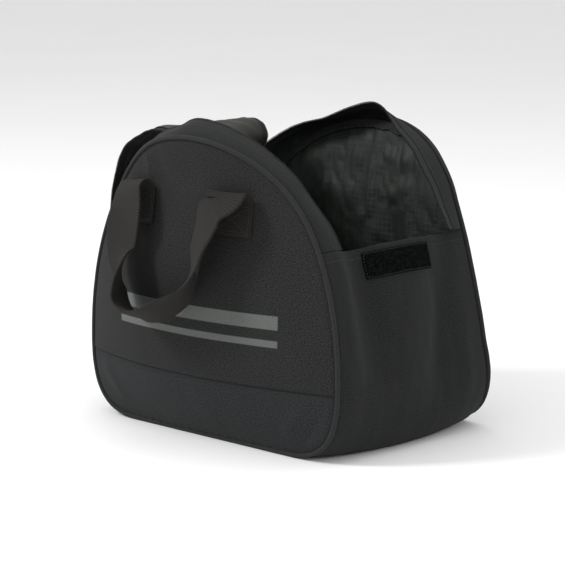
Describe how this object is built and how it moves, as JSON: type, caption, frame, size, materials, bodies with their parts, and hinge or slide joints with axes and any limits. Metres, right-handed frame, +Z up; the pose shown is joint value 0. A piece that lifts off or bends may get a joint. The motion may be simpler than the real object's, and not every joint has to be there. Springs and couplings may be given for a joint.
{
  "type": "motorcycle helmet bag",
  "caption": "Soft domed bag for a motorcycle helmet, with a zipped mouth over the top, a flap folded back over one shoulder and webbing handles.",
  "frame": {"origin": "on the floor, under the middle of the bag's base between its two piped seams", "axes": "+Z up, -Y towards the front panel, +X towards the gusset with the fastening patch"},
  "size_m": [0.3818, 0.3772, 0.3339],
  "materials": {
    "panel_cloth": "heathered charcoal woven polyester, matt",
    "gusset_cloth": "dark charcoal woven polyester, matt",
    "lining": "thin grey-green nylon lining with a small embossed grid, slightly glossy",
    "piping": "cloth-covered cord",
    "zip_tape": "woven tape with a nylon coil",
    "binding": "folded binding tape, crinkled",
    "patch": "black hook and loop fastening, fuzzy",
    "webbing": "warm grey polypropylene webbing with fine cross ribs"
  },
  "bodies": {
    "root": {"front_panel": "panel_cloth", "front_lower_panel": "panel_cloth", "back_panel": "panel_cloth", "back_lining": "lining", "front_piping": "piping", "back_piping": "piping", "gusset": "gusset_cloth", "loop_patch": "patch", "front_top_strip": "gusset_cloth", "front_zip_tape": "zip_tape", "rear_top_strip": "gusset_cloth", "rear_zip_tape": "zip_tape", "back_seam_binding": "binding", "top_flap": "gusset_cloth", "flap_lining": "lining", "flap_front_zip": "zip_tape", "flap_rear_zip": "zip_tape", "hook_patch": "patch", "front_handle": "webbing", "back_handle": "webbing"}
  },
  "joints": []
}
